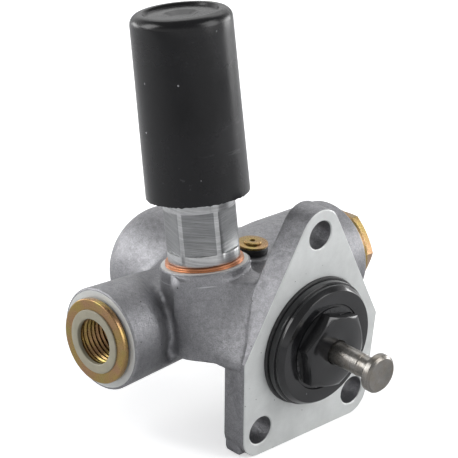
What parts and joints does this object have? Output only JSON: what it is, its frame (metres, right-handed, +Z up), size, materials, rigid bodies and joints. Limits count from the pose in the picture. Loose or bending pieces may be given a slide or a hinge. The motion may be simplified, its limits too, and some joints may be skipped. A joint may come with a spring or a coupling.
{
  "type": "hand primer pump",
  "caption": "Fuel feed pump with three-hole flange, sprung tappet, two threaded ports and a push-type hand primer under a tapered black cap.",
  "frame": {"origin": "tappet axis where it crosses the mounting face of the flange", "axes": "+X out of the flange along the tappet, +Y along the port axis to the outlet, +Z up towards the primer"},
  "size_m": [0.1061, 0.109, 0.1299],
  "materials": {
    "cast_aluminium": "cast, blasted",
    "black_steel": "blackened, glossy",
    "black_rubber": "matte",
    "bare_steel": "turned",
    "spring_steel": "drawn wire",
    "yellow_zinc": "yellow passivated zinc plating on steel",
    "white_ring": "moulded",
    "copper": "crush washer copper",
    "turned_aluminium": "turned and milled",
    "black_plastic": "moulded, satin",
    "valve_brass": "turned",
    "valve_plastic": "moulded"
  },
  "bodies": {
    "pump_body": {"pump_housing": "cast_aluminium", "guide_nut": "black_steel", "guide_nut_ring": "black_rubber", "inlet_seal_ring": "black_rubber", "bleed_seal_ring": "black_rubber", "bleed_washer": "bare_steel", "piston_spring": "spring_steel", "primer_spring": "spring_steel", "suction_valve_spring": "spring_steel", "pressure_valve_spring": "spring_steel", "inlet_adapter": "yellow_zinc", "outlet_adapter": "yellow_zinc", "outlet_washer": "yellow_zinc", "bleed_screw": "yellow_zinc", "inlet_white_ring": "white_ring", "outlet_white_ring": "white_ring", "primer_copper_washer": "copper", "primer_barrel": "turned_aluminium", "primer_gland": "turned_aluminium", "suction_valve_seat": "valve_brass", "pressure_valve_seat": "valve_brass"},
    "tappet": {"tappet_pin": "bare_steel"},
    "pump_piston": {"piston": "bare_steel"},
    "primer_plunger": {"primer_cap": "black_plastic", "primer_rod": "bare_steel", "primer_piston": "turned_aluminium", "primer_piston_seal": "black_rubber"},
    "suction_valve": {"suction_valve_disc": "valve_plastic"},
    "pressure_valve": {"pressure_valve_disc": "valve_plastic"}
  },
  "joints": [
    {"name": "tappet_slide", "type": "slide", "parent": "pump_body", "child": "tappet", "axis": [-1, 0, 0], "range_m": [0, 0.007], "stiffness_N_per_m": 2000, "springref_m": -0.004},
    {"name": "piston_slide", "type": "slide", "parent": "pump_body", "child": "pump_piston", "axis": [-1, 0, 0], "range_m": [0, 0.007], "deforming": ["piston_spring"]},
    {"name": "primer_slide", "type": "slide", "parent": "pump_body", "child": "primer_plunger", "axis": [0.2079, 0, -0.9781], "range_m": [0, 0.016], "stiffness_N_per_m": 500, "springref_m": -0.01, "deforming": ["primer_spring"]},
    {"name": "suction_lift", "type": "slide", "parent": "pump_body", "child": "suction_valve", "axis": [-0.2079, 0, 0.9781], "range_m": [0, 0.0015], "stiffness_N_per_m": 200, "springref_m": -0.001, "deforming": ["suction_valve_spring"]},
    {"name": "pressure_lift", "type": "slide", "parent": "pump_body", "child": "pressure_valve", "axis": [0, 1, 0], "range_m": [0, 0.0015], "stiffness_N_per_m": 200, "springref_m": -0.001, "deforming": ["pressure_valve_spring"]}
  ],
  "couplings": [
    {"joint": "piston_slide", "follows": "tappet_slide", "ratio": 1}
  ]
}
